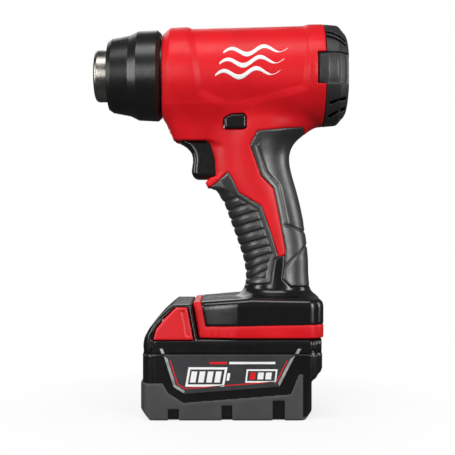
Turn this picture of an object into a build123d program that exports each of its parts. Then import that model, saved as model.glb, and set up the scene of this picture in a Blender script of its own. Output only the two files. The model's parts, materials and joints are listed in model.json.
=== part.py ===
"""Cordless heat gun on a slide-on battery pack, as an assembly of separate pieces.

Frame: millimetres, +Z up, the nozzle points along -X, the left side faces -Y. The origin is under the
middle of the tool, on the surface that the battery pack stands on.
"""

from build123d import *
import math
import os

# ---------------------------------------------------------------- driving dimensions
HALF_LENGTH = 81.5        # nozzle tip to rear cap is twice this
AXIS_Z = 218.0            # height of the barrel axis above the surface
NOZZLE_R = 17.0           # outside of the outlet spigot that accessory nozzles slip over
BARREL_FRONT = -37.2      # front face of the red barrel
BARREL_REAR = 66.4        # joint between red barrel and rear cap
BARREL_WALL = 2.8
SKIN = 1.8                # thickness of the soft over-moulded skins
HANDLE_WALL = 4.4         # skin plus the hard core beneath it
FOOT_BOTTOM = 50.6        # underside of the foot, where the pack slides on
FOOT_HALF_WIDTH = 37.0
PACK_HALF_WIDTH = 37.7    # over the bumper boot
CASE_HALF_WIDTH = 36.2    # battery case inside the boot
SEAM_Z = 40.8             # joint between the pack's lower and upper cases
GAP = 0.25                # assembly clearance between neighbouring pieces
TRIGGER_HALF_WIDTH = 10.4

# places that several pieces share, as (x, z)
FINGER_CENTRE = (-18.0, 160.3)    # centre of the round hollow behind the trigger
FINGER_R = 14.4
HOOK_HINGE = (9.5, 249.8)         # (y, z) of the hanging loop's hinge line
HOOK_TRACK_R = 31.0               # floor of the track that the loop folds into
HOUSING_SCREWS = [                # (x, z, y of the head's seat)
    (-20, 184.5, 11), (24, 184.0, 12), (50, 184.5, 12), (10, 145.5, 9), (26, 112, 9),
    (-5, 67, 28), (58, 67, 28),
]
LED_CENTRE = (-32.9, 183.4)
LED_SLOPE = (-0.930, -0.367)      # outward normal of the nose's sloped face
GAUGE_Z = 31.0
BLADE_ROWS = (-12.0, -4.0, 4.0, 12.0)


# ---------------------------------------------------------------- helpers
def outline(points, radius=0.0):
    """Closed face in the XZ plane through (x, z) points, with every corner rounded by radius."""
    face = make_face(Polyline(*points, close=True))
    if radius:
        face = fillet(face.vertices(), radius)
    return Plane.XZ * face


def slab(points, y0, y1, radius=0.0):
    """Prism of an XZ outline from y0 to y1."""
    return Pos(0, y0, 0) * extrude(outline(points, radius), amount=y1 - y0, dir=(0, 1, 0))


def across(points, half_width, radius=0.0):
    """Prism of an XZ outline, symmetric about the middle plane."""
    return slab(points, -half_width, half_width, radius)


def block(x0, x1, y0, y1, z0, z1):
    """Box between two corners."""
    return Pos((x0 + x1) / 2, (y0 + y1) / 2, (z0 + z1) / 2) * Box(x1 - x0, y1 - y0, z1 - z0)


def turned(profile, radius=0.0):
    """Solid of revolution about the barrel axis from (x, r) points."""
    face = outline([(x, AXIS_Z + r) for x, r in profile], radius)
    return revolve(face, axis=Axis((0, 0, AXIS_Z), (1, 0, 0)))


def ring(x0, x1, r_in, r_out):
    """Plain ring or disc about the barrel axis."""
    return turned([(x0, r_in), (x1, r_in), (x1, r_out), (x0, r_out)])


def rod(x, y, z, r, length, axis="y"):
    """Cylinder centred on a point, along x, y or z."""
    turn = {"x": Rot(0, 90, 0), "y": Rot(90, 0, 0), "z": Rot(0, 0, 0)}[axis]
    return Pos(x, y, z) * turn * Cylinder(r, length)


def rounded_plan(x0, x1, half_width, z0, z1, radius):
    """Upright prism with a rounded rectangular plan."""
    plan = RectangleRounded(x1 - x0, 2 * half_width, radius)
    return Pos((x0 + x1) / 2, 0, z0) * extrude(plan, amount=z1 - z0)


def half(shape, side):
    """The part of a shape on the left (-1) or right (+1) of the middle plane."""
    box = block(-120, 120, 0 if side > 0 else -60, 60 if side > 0 else 0, -10, 300)
    return shape & box


def coil(x, y, z, radius, wire, pitch, turns, axis):
    """Helical wire that starts at a point and runs along x or y."""
    direction = {"x": (1, 0, 0), "y": (0, 1, 0), "-y": (0, -1, 0)}[axis]
    path = Helix(pitch, pitch * turns, radius, center=(x, y, z), direction=direction)
    section = Plane(origin=path @ 0, z_dir=path % 0) * Circle(wire / 2)
    return sweep(section, path=path, is_frenet=True)


def write(node, shape):
    """Writes one named sub-part."""
    solids = shape.solids()
    export_step(Compound(children=list(solids)) if len(solids) > 1 else solids[0], f"parts/{node}.step")


# ---------------------------------------------------------------- outer skin of the tool
# side outlines (x, z) where the soft skins lie on the hard core
FRONT_GRIP = [(5.6, 154.4), (0.2, 152.2), (-4.3, 144.9), (-14, 139), (2, 100), (2, 76), (31, 76), (32.3, 86),
              (34.7, 99.6), (31.4, 116.5), (25.6, 132.9), (11.9, 141.3), (7.9, 150.0)]
REAR_GRIP = [(75, 178.4), (54.2, 178.4), (53.2, 183.4), (23.7, 180.3), (18.9, 171.5), (26.0, 151.8), (34.0, 143.9),
             (36.7, 130.4), (41.5, 105.1), (41.1, 94.8), (39.9, 86.1), (45.0, 81.4), (75, 80.6)]
FOOT_COVER = [(-11.0, 80), (-8.9, 57.6), (75, 59.2), (75, 80.6), (45.0, 81.4), (39.9, 86.1), (41.1, 94.8),
              (41.3, 101.5), (37.6, 100.0), (34.7, 99.6), (32.3, 86), (31, 76), (2, 76), (2, 80)]
# lock shuttle outline, and the window it slides in
SHUTTLE = [(2.6, 181.6), (16.3, 181.6), (16.4, 189.1), (14.7, 191.0), (7.3, 190.6), (2.5, 188.3)]
SHUTTLE_WINDOW = [(2.0, 181.1), (16.9, 181.1), (17.0, 189.4), (15.0, 191.6), (7.0, 191.1), (1.9, 188.6)]
# handle sections: (z, front x, back x, half width)
HANDLE = [(68, 10.5, 62.0, 21.5), (74, 13.0, 60.6, 19.6), (79, 15.6, 58.4, 18.0), (88, 17.2, 57.5, 17.2),
          (99, 15.4, 57.3, 17.2), (111, 11.4, 56.1, 17.5), (123, 7.0, 54.0, 17.9), (134.5, 3.0, 51.6, 18.3),
          (143, -2.5, 49.4, 18.6), (151, -7.0, 47.0, 18.8), (159, -8.5, 45.0, 19.2), (166, -9.2, 44.6, 19.8),
          (172, -9.8, 46.6, 20.6), (177, -10.4, 51.0, 21.3), (181, -11.0, 57.0, 21.9), (186, -11.5, 62.0, 22.4),
          (200, -12.0, 64.0, 23.2)]
SECTION_POWER = 2.5       # 2 is an ellipse, more is squarer


def barrel_skin(t):
    """Barrel, inset by t."""
    rear = BARREL_REAR if t == 0 else BARREL_REAR + 1
    return turned([(BARREL_FRONT + t, 0), (BARREL_FRONT + t, 26.9 - t), (-32.2 + t, 31.0 - t), (-22.0, 31.5 - t),
                   (-18.8, 30.4 - t), (54.0, 32.2 - t), (56.0, 33.2 - t), (rear, 33.3 - t), (rear, 0)])


def belly_skin(t):
    """Nose and belly between barrel and trigger, inset by t."""
    low = Pos(-8.0 + 0.2 * t, 0, 174.8 + t) * RectangleRounded(44.0 - 2 * t, 2 * (15.5 - t), 7.0 - t)
    high = Pos(-11.0 + 0.2 * t, 0, 206.0) * RectangleRounded(61.5 - 2 * t, 2 * (26.0 - t), 12.0 - t)
    return loft([low, high]) - block(-60, BARREL_FRONT + t, -40, 40, 160, 260)


def handle_section(z, front, back, half_width):
    """Superellipse outline of the handle at one height."""
    points = []
    for i in range(28):
        a = 2 * math.pi * i / 28
        c, s = math.cos(a), math.sin(a)
        u = math.copysign(abs(c) ** (2 / SECTION_POWER), c)
        v = math.copysign(abs(s) ** (2 / SECTION_POWER), s)
        points.append(((front + back) / 2 + (back - front) / 2 * u, half_width * v))
    return Pos(0, 0, z) * make_face(Spline(*points, periodic=True))


def handle_skin(t):
    """Handle from the foot up into the barrel, inset by t, with the finger hollow cut out."""
    body = loft([handle_section(z, f + t, b - t, w - t) for z, f, b, w in HANDLE])
    return body - rod(FINGER_CENTRE[0], 0, FINGER_CENTRE[1], FINGER_R + t, 120)


def foot_skin(t):
    """Foot that the pack slides onto, inset by t."""
    low = FOOT_BOTTOM - (1 if t else 0)
    side = [(-13.0 + t, low), (64.7 - t, low), (64.7 - t, 74.2 - t), (20, 75.2 - t), (-16.8 + t, 72.4 - t)]
    half_width = FOOT_HALF_WIDTH - t
    body = across(side, half_width) & rounded_plan(-40, 64.7 - t, half_width, 40, 90, 10.0 - t)
    tops = [e for e in body.edges() if e.center().Z > 71.2 - t and e.bounding_box().size.Z < 4]
    return chamfer(tops, 1.6)


def guard_skin():
    """Small finger guard below the trigger."""
    return across([(-9.6, 147.9), (-7.2, 149.8), (0, 152), (2, 141), (-5.2, 142.9), (-8.4, 144.2)], 14.0, 0.8)


def tool_skin(t):
    """Whole outer form of the tool, inset by t."""
    return barrel_skin(t) + belly_skin(t) + handle_skin(t) + foot_skin(t)


def channel():
    """T-shaped slot in the foot's underside that holds the pack's rails."""
    return block(-25, 62, -21.4, 21.4, 45, 55) + block(-25, 62, -25.4, 25.4, 54.2, 61.4)


def hook_recess():
    """Shallow track on the right side of the barrel where the hanging loop lies."""
    track = ring(40.6, 56.6, HOOK_TRACK_R, 40.0)
    return track & block(30, 70, 5.5, 50, 208.0, 300)


def screw_boss(x, z, seat, side):
    """Post from one shell's wall to the middle plane, before it is bored."""
    return slab_rod(x, z, 4.4, 0.1 if side > 0 else -30, 30 if side > 0 else -0.1)


def slab_rod(x, z, r, y0, y1):
    """Cylinder across the tool from y0 to y1."""
    return rod(x, (y0 + y1) / 2, z, r, y1 - y0)


def led_plane(offset):
    """Plane on the nose's sloped face, offset outward."""
    nx, nz = LED_SLOPE
    return Plane(origin=(LED_CENTRE[0] + nx * offset, 0, LED_CENTRE[1] + nz * offset), z_dir=(nx, 0, nz))


def housing():
    """Hard red core shell of barrel, belly, handle and foot, as (left, right)."""
    skin = tool_skin(0)
    covers = [across(FRONT_GRIP, 60), across(REAR_GRIP, 60), across(FOOT_COVER, 60)]
    beneath = handle_skin(SKIN) + foot_skin(SKIN)
    soft = [(skin & c) - beneath - barrel_skin(0) - belly_skin(0) for c in covers]
    hollow = barrel_skin(BARREL_WALL) + belly_skin(BARREL_WALL) + handle_skin(HANDLE_WALL)
    hollow += foot_skin(HANDLE_WALL) - block(-40, 80, -60, 60, 40, 63.6)
    core = skin + guard_skin()
    for piece in soft:
        core -= piece
    openings = [
        ring(BARREL_FRONT - 5, -30, 0, 24.8),
        block(-28.0, 3.0, -10.9, 10.9, 149.8, 176.8),
        across(SHUTTLE_WINDOW, 60, 1.2),
        channel(),
        hook_recess(),
        block(60.8, 80, -60, 60, 208.6, 228.8) & ring(60.8, 80, 29.0, 45),
        led_plane(-8) * extrude(Circle(3.1), amount=16),
        block(-60, 120, -60, 60, 40, FOOT_BOTTOM),
    ]
    shell = core - hollow
    for cut in openings:
        shell -= cut
    halves = []
    for side in (-1, 1):
        piece = half(shell, side)
        inner = half(hollow, side) - block(-28.0, 8.0, -12.5, 12.5, 149.0, 177.0)
        for x, z, seat in HOUSING_SCREWS:
            piece += screw_boss(x, z, seat, side) & inner
        for x, z, seat in HOUSING_SCREWS:
            if side > 0:
                piece -= slab_rod(x, z, 1.75, -1, seat + 1) + slab_rod(x, z, 3.3, seat, 60)
            else:
                piece -= slab_rod(x, z, 1.55, -11, 1)
        piece -= block(-120, 120, -0.02, 0.02, 0, 300)
        halves.append(max(piece.solids(), key=lambda s: s.volume))
    return halves, soft


# ---------------------------------------------------------------- front end
def nozzle_tube():
    """Drawn steel outlet tube with a rolled lip and a stop collar for accessory nozzles."""
    face = make_face(Polyline((-HALF_LENGTH, 13.9), (-HALF_LENGTH, NOZZLE_R), (-62.0, NOZZLE_R), (-62.0, 18.7),
                              (-59.6, 18.7), (-59.6, 16.5), (-2.0, 16.5), (-2.0, 15.7), (-80.2, 15.7), (-80.2, 13.9),
                              close=True))
    corner = face.vertices().sort_by_distance((-HALF_LENGTH, NOZZLE_R, 0))[0]
    face = fillet(corner, 2.8)
    inner = face.vertices().sort_by_distance((-80.2, 15.7, 0))[0]
    face = fillet(inner, 1.5)
    return revolve(Plane.XZ * Pos(0, AXIS_Z, 0) * face, axis=Axis((0, 0, AXIS_Z), (1, 0, 0)))


def front_shroud():
    """Stepped heat-resistant shroud round the outlet."""
    profile = [(-72.5, 20.4), (-72.5, 22.3), (-69.8, 24.1), (-58.6, 26.2), (-53.2, 28.9), (-40.6, 29.5),
               (-38.2, 27.3), (-38.2, 24.5), (-30.2, 24.5), (-30.2, 22.4), (-41.0, 22.4), (-42.5, 26.4),
               (-52.2, 26.2), (-57.8, 23.4), (-64.0, 22.0), (-64.0, 20.4)]
    return turned(profile)


def mica_cross():
    """Crossed mica plates that the heating wire is wound on."""
    upright = block(-66, -10, -0.5, 0.5, AXIS_Z - 9.2, AXIS_Z + 9.2)
    level = block(-66, -10, -9.2, 9.2, AXIS_Z - 0.5, AXIS_Z + 0.5)
    return upright + level


def heater_collar():
    """Ceramic ring that carries the steel tube inside the barrel."""
    return turned([(-6.0, 16.7), (-6.0, 20.0), (-1.0, 25.9), (5.8, 25.9), (5.8, 20.0), (-1.7, 16.0),
                   (-1.7, 16.7)])


def thermal_cutout():
    """Disc thermostat clipped to the heater collar."""
    can = rod(-12.0, 0, AXIS_Z + 20.4, 3.6, 4.0, "z")
    return can + block(-16, -8, -1.5, 1.5, AXIS_Z + 22.4, AXIS_Z + 23.4)


# ---------------------------------------------------------------- blower
MOTOR_X = (14.0, 44.0)


def air_duct():
    """Duct that leads the air past the motor into the heater."""
    return ring(6.1, 64.0, 24.6, 26.0)


def motor_can():
    """Steel motor can with its face plate."""
    can = ring(MOTOR_X[0], MOTOR_X[1], 0, 17.8) - ring(MOTOR_X[0] - 1, MOTOR_X[1] - 1.6, 0, 16.6)
    can -= ring(MOTOR_X[1] - 3, MOTOR_X[1] + 1, 0, 3.3)
    for side in (-1, 1):
        can -= rod(MOTOR_X[1] - 1, 0, AXIS_Z + 8.0 * side, 1.3, 6, "x")
    return can


def motor_magnets():
    """Two arc magnets inside the can."""
    arcs = ring(17.0, 40.0, 14.3, 16.5)
    return arcs - block(0, 60, -60, 60, AXIS_Z - 5.0, AXIS_Z + 5.0)


def motor_end_bell():
    """Plastic end bell with the brush holders and terminals."""
    bell = ring(9.5, 13.9, 3.1, 17.6)
    for side in (-1, 1):
        bell += block(4.5, 10.0, -2.0, 2.0, AXIS_Z + 11 * side - 0.4, AXIS_Z + 11 * side + 0.4)
        bell -= block(8.0, 15.0, -2.1, 2.1, AXIS_Z + 6.0 * side - 1.6, AXIS_Z + 6.0 * side + 1.6)
    return bell


def carbon_brushes():
    """Two carbon brushes in the end bell."""
    pair = [block(10.0, 17.0, -2.0, 2.0, AXIS_Z + 6.0 * s - 1.5, AXIS_Z + 6.0 * s + 1.5) for s in (-1, 1)]
    return Compound(children=[p.solids()[0] for p in pair])


def motor_bushes():
    """Sintered bushes at both ends of the motor."""
    pair = [ring(9.6, 13.6, 1.64, 3.0), ring(41.4, 45.4, 1.64, 3.2)]
    return Compound(children=[p.solids()[0] for p in pair])


def motor_shaft():
    """Steel shaft from the end bell to the fan."""
    return ring(8.0, 65.5, 0, 1.58)


def armature():
    """Slotted iron core on the shaft, with its commutator."""
    core = ring(19.5, 38.5, 1.6, 13.6)
    for i in range(5):
        slot = block(19, 39, -1.0, 1.0, AXIS_Z + 7.5, AXIS_Z + 16)
        core -= Pos(0, 0, AXIS_Z) * Rot(72 * i, 0, 0) * Pos(0, 0, -AXIS_Z) * slot
    return core + ring(14.4, 19.5, 1.6, 4.3)


def fan_impeller():
    """Radial impeller with nine swept blades."""
    disc = ring(53.4, 54.8, 1.6, 22.4) + ring(53.4, 63.4, 1.6, 5.2)
    count, thick = 9, 1.2
    arc = Pos(13.5, 6.5) * (Circle(9.6 + thick / 2) - Circle(9.6 - thick / 2))
    arc = arc & (Circle(22.2) - Circle(4.6)) & Pos(13.0, -8.0) * Rectangle(20, 18)
    blade = Pos(54.4, 0, AXIS_Z) * Rot(0, 90, 0) * extrude(arc, amount=8.2)
    for i in range(count):
        turn = Pos(0, 0, AXIS_Z) * Rot(360 / count * i, 0, 0) * Pos(0, 0, -AXIS_Z)
        disc += turn * blade
    return disc


def motor_bracket():
    """Three-spoke bracket that holds the motor's face in the duct."""
    body = ring(44.2, 46.8, 4.0, 11.0) + ring(44.2, 46.8, 22.6, 24.5)
    for i in range(3):
        spoke = block(44.2, 46.8, -2.2, 2.2, AXIS_Z + 9.5, AXIS_Z + 23.2)
        body += Pos(0, 0, AXIS_Z) * Rot(60 + 120 * i, 0, 0) * Pos(0, 0, -AXIS_Z) * spoke
    for side in (-1, 1):
        body -= rod(45, 0, AXIS_Z + 8.0 * side, 1.35, 8, "x")
    return body


def motor_screws():
    """Two screws through the bracket into the motor's face."""
    pair = []
    for side in (-1, 1):
        z = AXIS_Z + 8.0 * side
        screw = rod(47.7, 0, z, 2.4, 1.6, "x") + rod(44.5, 0, z, 1.2, 6, "x")
        pair.append(screw.solids()[0])
    return Compound(children=pair)


def intake_screen():
    """Perforated disc that keeps debris out of the fan."""
    disc = ring(67.2, 68.0, 0, 25.8)
    pitch = 6.4
    for row in range(-3, 4):
        for column in range(-3, 4):
            y, z = pitch * (column + row / 2), pitch * row * math.sqrt(3) / 2
            if math.hypot(y, z) < 22:
                disc -= rod(67.6, y, AXIS_Z + z, 2.4, 4, "x")
    return disc


# cap louvres: start (x, z), end (x, z), thickness
LOUVRES = [((69.5, 238.8), (90, 238.8), 1.7), ((69.5, 244.6), (90, 244.6), 1.7),
           ((68.5, 197.3), (90, 203.4), 1.9), ((68.5, 190.2), (90, 197.9), 1.9), ((68.5, 184.4), (90, 193.4), 1.7)]


def rear_cap():
    """Vented cap over the air intake, with side scoops."""
    cap = turned([(BARREL_REAR + GAP, 33.2), (75.6, 32.4), (HALF_LENGTH, 25.6), (HALF_LENGTH, 0), (79.2, 0),
                  (79.2, 24.7), (74.6, 30.0), (BARREL_REAR + GAP, 30.8)])
    tab = ring(61.1, BARREL_REAR + 1, 29.5, 33.1) & block(61, 70, -60, 60, 208.9, 228.5)
    cap += tab
    for side in (-1, 1):
        y0, y1 = sorted((26.2 * side, 28.4 * side))
        floor = block(61.1, 80.5, y0, y1, 208.9, 228.5) & ring(60, 90, 0, 32.4)
        cap += floor
        y0, y1 = sorted((28.3 * side, 60 * side))
        cap -= block(63.6, 90, y0, y1, 210.6, 226.8)
    for (x0, z0), (x1, z1), thick in LOUVRES:
        half_gap = thick / 2
        cap -= across([(x0, z0 - half_gap), (x1, z1 - half_gap), (x1, z1 + half_gap), (x0, z0 + half_gap)], 60)
    for row in (-14, -7, 0, 7, 14):
        cap -= block(78, 90, -17.5, 17.5, AXIS_Z + row - 1.2, AXIS_Z + row + 1.2)
    for y, z in ((-20, AXIS_Z + 7), (20, AXIS_Z + 7), (0, AXIS_Z - 20.5)):
        cap -= rod(80, y, z, 1.3, 8, "x")
    return max(cap.solids(), key=lambda s: s.volume)


# ---------------------------------------------------------------- controls
def trigger():
    """Curved trigger that slides straight into the handle."""
    front = Spline((-26.4, 174.0), (-23.2, 172.2), (-18.5, 167.5), (-17.7, 161.5), (-18.6, 156.0), (-17.8, 152.2))
    rest = Polyline((-17.8, 152.2), (-14.5, 150.4), (1.0, 150.4), (1.0, 176.2), (-26.6, 176.2), (-26.4, 174.0))
    face = Plane.XZ * make_face([front, rest])
    body = Pos(0, -TRIGGER_HALF_WIDTH, 0) * extrude(face, amount=2 * TRIGGER_HALF_WIDTH, dir=(0, 1, 0))
    rims = [e for e in body.edges() if 22 < e.length < 30 and abs(e.center().Y) > 9 and e.center().Z < 170]
    body = chamfer(rims, 1.2)
    return body - rod(1.0, 0, 163.5, 2.2, 6, "x")


def trigger_switch():
    """Trigger switch body with a bore for its plunger."""
    return across([(12, 152), (35, 152), (35, 176), (12, 176)], 8.0, 0.8) - rod(18, 0, 163.5, 2.3, 12.2, "x")


def switch_plunger():
    """Rod that the trigger pushes into the switch."""
    return rod(6.0, 0, 163.5, 2.1, 15.6, "x")


def lock_shuttle():
    """Cross bar that locks the trigger, reached from both sides."""
    body = across(SHUTTLE, 22.7, 0.8)
    edges = [e for e in body.edges() if abs(abs(e.center().Y) - 22.7) < 0.01]
    return chamfer(edges, 0.5)


# ---------------------------------------------------------------- light, electronics
def led_lens():
    """Clear lens in the nose."""
    return led_plane(-2.6) * extrude(Circle(2.95), amount=3.6)


def led_board():
    """Small board behind the lens."""
    return led_plane(-5.4) * extrude(Rectangle(9, 9), amount=1.2)


def control_board():
    """Power board in the foot."""
    return block(2, 52, -24, 24, 64.2, 65.8)


def heat_sink():
    """Finned aluminium block on the power board."""
    body = block(30, 50, -14, 14, 65.9, 67.4)
    for i in range(6):
        body += block(30, 50, -13.5 + 5 * i, -12.3 + 5 * i, 67.2, 70.2)
    return body


def terminal_block():
    """Plastic block in the foot that holds the contact blades."""
    body = block(48.5, 61.5, -19, 19, 55.2, 61.1)
    for y in BLADE_ROWS:
        body -= block(48, 56.2, y - 0.42, y + 0.42, 55.7, 60.4)
    return body


def contact_blades():
    """Four brass blades that enter the pack."""
    blades = [block(31, 56, y - 0.38, y + 0.38, 55.8, 60.3).solids()[0] for y in BLADE_ROWS]
    return Compound(children=blades)


# ---------------------------------------------------------------- fasteners
def housing_screws():
    """Seven screws that join the housing halves, heads on the right side."""
    screws = []
    for x, z, seat in HOUSING_SCREWS:
        head = slab_rod(x, z, 3.0, seat + 0.05, seat + 2.3) - star_socket(x, z, seat + 2.3)
        screws.append((head + slab_rod(x, z, 1.5, -9.5, seat + 0.1)).solids()[0])
    return Compound(children=screws)


def star_socket(x, z, y):
    """Six-lobed drive recess in a screw head that faces +Y."""
    socket = slab_rod(x, z, 1.15, y - 1.4, y + 0.5)
    for i in range(3):
        bar = Box(3.0, 1.9, 0.8)
        socket += Pos(x, y - 0.45, z) * Rot(0, 60 * i, 0) * bar
    return socket


def cap_screws():
    """Three screws that hold the rear cap."""
    screws = []
    for y, z in ((-20, AXIS_Z + 7), (20, AXIS_Z + 7), (0, AXIS_Z - 20.5)):
        screws.append(rod(77.4, y, z, 1.2, 8.0, "x").solids()[0])
    return Compound(children=screws)


# ---------------------------------------------------------------- hanging loop
HOOK_X = (42.6, 54.6)     # the loop's two arms
HOOK_WIRE = 1.5           # wire radius
HOOK_R = 33.2             # distance of the arms from the barrel axis
HOOK_END = 4.0            # angle of the loop's lower end below which it stops, in degrees


def hook_boss():
    """Pivot boss on top of the barrel that holds the loop's ends."""
    y, z = HOOK_HINGE
    body = rod(48.6, y, z, 2.3, 7.4, "x") + block(44.9, 52.3, y - 2.0, y + 2.0, z - 2.6, z)
    body -= rod(48.6, y, z, HOOK_WIRE + 0.06, 20, "x")
    return body - ring(40, 60, 0, HOOK_TRACK_R + 0.03)


def hanging_loop():
    """Bent wire loop that folds out of its track to hang the tool up."""
    y, z = HOOK_HINGE
    start = math.degrees(math.atan2(z - AXIS_Z, y))
    x0, x1 = HOOK_X
    arms = []
    for x in HOOK_X:
        arc = CenterArc((0, 0), HOOK_R, HOOK_END, start - HOOK_END)
        path = Plane(origin=(x, 0, AXIS_Z), x_dir=(0, 1, 0), z_dir=(1, 0, 0)) * arc
        arms.append(sweep(Plane(origin=path @ 0, z_dir=path % 0) * Circle(HOOK_WIRE), path=path))
    a = math.radians(HOOK_END)
    bar_y, bar_z = HOOK_R * math.cos(a), AXIS_Z + HOOK_R * math.sin(a)
    loop = arms[0] + arms[1] + rod((x0 + x1) / 2, bar_y, bar_z, HOOK_WIRE, x1 - x0, "x")
    for x in HOOK_X:
        loop += Pos(x, bar_y, bar_z) * Sphere(HOOK_WIRE) + Pos(x, y, z) * Sphere(HOOK_WIRE)
    for x, inward in ((x0, 1), (x1, -1)):
        loop += rod(x + inward * 2.0, y, z, HOOK_WIRE, 4.0, "x")
    return loop


# ---------------------------------------------------------------- battery pack
LOWER_CASE = [(-48.6, 7.0), (-42.6, 1.0), (51.8, 1.0), (56.4, 5.6), (56.4, 22.6), (64.2, 31.2), (64.2, SEAM_Z - 0.1),
              (-48.6, SEAM_Z - 0.1)]
UPPER_CASE = [(-48.8, SEAM_Z + 0.1), (64.4, SEAM_Z + 0.1), (64.4, 50.2), (-13.6, 50.2), (-17.6, 71.4), (-28.9, 71.4),
              (-32.0, 68.9), (-38.2, 63.3), (-43.4, 57.2), (-47.6, 50.2), (-48.8, 46.2)]
BOOT = [(-49.7, 23.1), (-35.2, 23.1), (-31.8, 17.2), (-22.4, 11.2), (43.6, 16.4), (48.6, 28.8), (52.0, 29.0),
        (57.6, 29.0), (57.6, 5.2), (52.4, 0.0), (-43.2, 0.0), (-49.7, 6.6)]
BOOT_NOTCHES = [(-31.8, -25.4, 6.8), (1.2, 7.4, 9.0), (32.6, 39.8, 12.0)]   # x from, x to, height
LATCH = [(-22.6, 69.6), (-16.6, 50.9), (-41.6, 50.9), (-39.6, 56.4), (-33.6, 63.7), (-26.8, 69.4)]
LATCH_WINDOW = [(-22.3, 70.0), (-16.1, 50.5), (-42.2, 50.5), (-40.1, 56.6), (-33.9, 64.1), (-26.9, 70.0)]
LATCH_FLANGE = [(-22.9, 68.6), (-19.2, 48.3), (-42.0, 48.3), (-42.0, 54.0), (-40.9, 55.8), (-36.2, 61.2),
                (-30.2, 66.6), (-28.0, 68.6)]


PACK_SCREWS = [(-25.8, -29), (-25.8, 29), (31.2, -29), (31.2, 29)]   # (x, y)
CELL_R = 9.1
CELL_PITCH = 19.0
LAYERS = ((13.4, -35.3), (32.0, -32.1))                              # (z, first cell's x)
CELL_CENTRES = [(x0 + CELL_PITCH * i, z) for z, x0 in LAYERS for i in range(5)]


def case_form(side, x0, x1, half_width, corner):
    """Battery case form: side outline with rounded plan corners."""
    zs = [z for _, z in side]
    return across(side, half_width) & rounded_plan(x0, x1, half_width, min(zs) - 1, max(zs) + 1, corner)


def battery_lower_case():
    """Open-topped tray that holds the cells, with a recess at the front for the gauge."""
    outer = case_form(LOWER_CASE, -48.6, 64.2, CASE_HALF_WIDTH, 8.5)
    inner = case_form([(-46.4, 8.0), (-41.6, 3.2), (50.8, 3.2), (54.2, 6.6), (54.2, 23.4), (62.0, 32.0), (62.0, 45),
                       (-46.4, 45)], -46.4, 62.0, CASE_HALF_WIDTH - 2.2, 6.3)
    tray = outer - inner - block(-50, -45, -15, 15, GAUGE_Z - 5.5, GAUGE_Z + 5.5)
    for x, y in PACK_SCREWS:
        tray -= rod(x, y, 2, 1.6, 8, "z")
    return tray


def battery_upper_case():
    """Top case with the front hump, the rails and the latch windows."""
    outer = case_form(UPPER_CASE, -48.8, 64.4, CASE_HALF_WIDTH, 8.5)
    inner = case_form([(-46.4, 38), (62.0, 38), (62.0, 47.8), (-15.9, 47.8), (-19.4, 69.0), (-28.2, 69.0),
                       (-30.6, 67.0), (-36.6, 61.6), (-41.4, 56.0), (-45.4, 49.4), (-46.4, 46.0)],
                      -46.4, 62.0, CASE_HALF_WIDTH - 2.4, 6.3)
    case = outer - inner - block(-60, 80, -60, 60, 30, SEAM_Z + 0.1)
    case += block(-15.5, 45, -20.8, 20.8, 50.1, 54.8) + block(-14.0, 45, -24.8, 24.8, 54.7, 60.6)
    case -= block(-12.0, 25.0, -18.0, 18.0, 47.0, 58.4)
    for y in BLADE_ROWS:
        case -= block(28.0, 46.0, y - 1.2, y + 1.2, 54.6, 62)
    case -= across(LATCH_WINDOW, 60)
    for side in (-1, 1):
        y0, y1 = sorted((19.2 * side, 21.0 * side))
        case += block(-48.0, -24.0, y0, y1, 46.0, 60.0) & outer
    return max(case.solids(), key=lambda s: s.volume)


def battery_boot():
    """Tough grey bumper moulded round the lower case."""
    outer = case_form(BOOT, -49.7, 57.6, PACK_HALF_WIDTH, 10.0)
    boot = outer - case_form(LOWER_CASE, -48.6, 64.2, CASE_HALF_WIDTH, 8.5)
    boot -= block(-52, -45, -15, 15, GAUGE_Z - 8, 40)
    for x0, x1, top in BOOT_NOTCHES:
        for side in (-1, 1):
            y0, y1 = sorted((35.0 * side, 50 * side))
            boot -= block(x0, x1, y0, y1, -1, top)
    for x, y in PACK_SCREWS:
        boot -= rod(x, y, 0, 3.4, 4, "z")
    return boot


def battery_cells():
    """Ten cylindrical cells, in two layers of five."""
    return Compound(children=[rod(x, 0, z, CELL_R, 64.0).solids()[0] for x, z in CELL_CENTRES])


def cell_holder(side):
    """Moulded plate that holds one end of the ten cells."""
    y0, y1 = sorted((24.0 * side, 32.0 * side))
    plate = block(-45.6, 53.4, y0, y1, 3.9, 41.5) & case_form(
        [(-45.8, 8.6), (-41.0, 3.9), (50.2, 3.9), (53.6, 7.2), (53.6, 40.6), (-45.8, 40.6)], -45.8, 60, 33.0, 6)
    for x, z in CELL_CENTRES:
        plate -= rod(x, 0, z, CELL_R + 0.05, 90)
    for x, y in PACK_SCREWS:
        plate -= rod(x, y, 3, 1.55, 14, "z")
    return plate


def cell_holders():
    """The two holder plates, one at each end of the cells."""
    return Compound(children=[cell_holder(side).solids()[0] for side in (-1, 1)])


def cell_straps():
    """Nickel straps welded across the cell ends, five on each side."""
    straps = []
    for side in (-1, 1):
        y0, y1 = sorted((32.1 * side, 32.4 * side))
        for i in range(5):
            x = -33.7 + CELL_PITCH * i
            straps.append(block(x - 3.5, x + 3.5, y0, y1, 9.5, 36.0).solids()[0])
    return Compound(children=straps)


def protection_board():
    """Pack protection board above the cells."""
    return block(-10, 58, -26, 26, 42.2, 43.8)


def pack_terminals():
    """Four pairs of contact leaves beside the blades."""
    leaves = []
    for y in BLADE_ROWS:
        for side in (-1, 1):
            y0, y1 = sorted((y + 0.55 * side, y + 0.95 * side))
            leaves.append(block(29.0, 43.5, y0, y1, 55.0, 59.8).solids()[0])
    return Compound(children=leaves)


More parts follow.
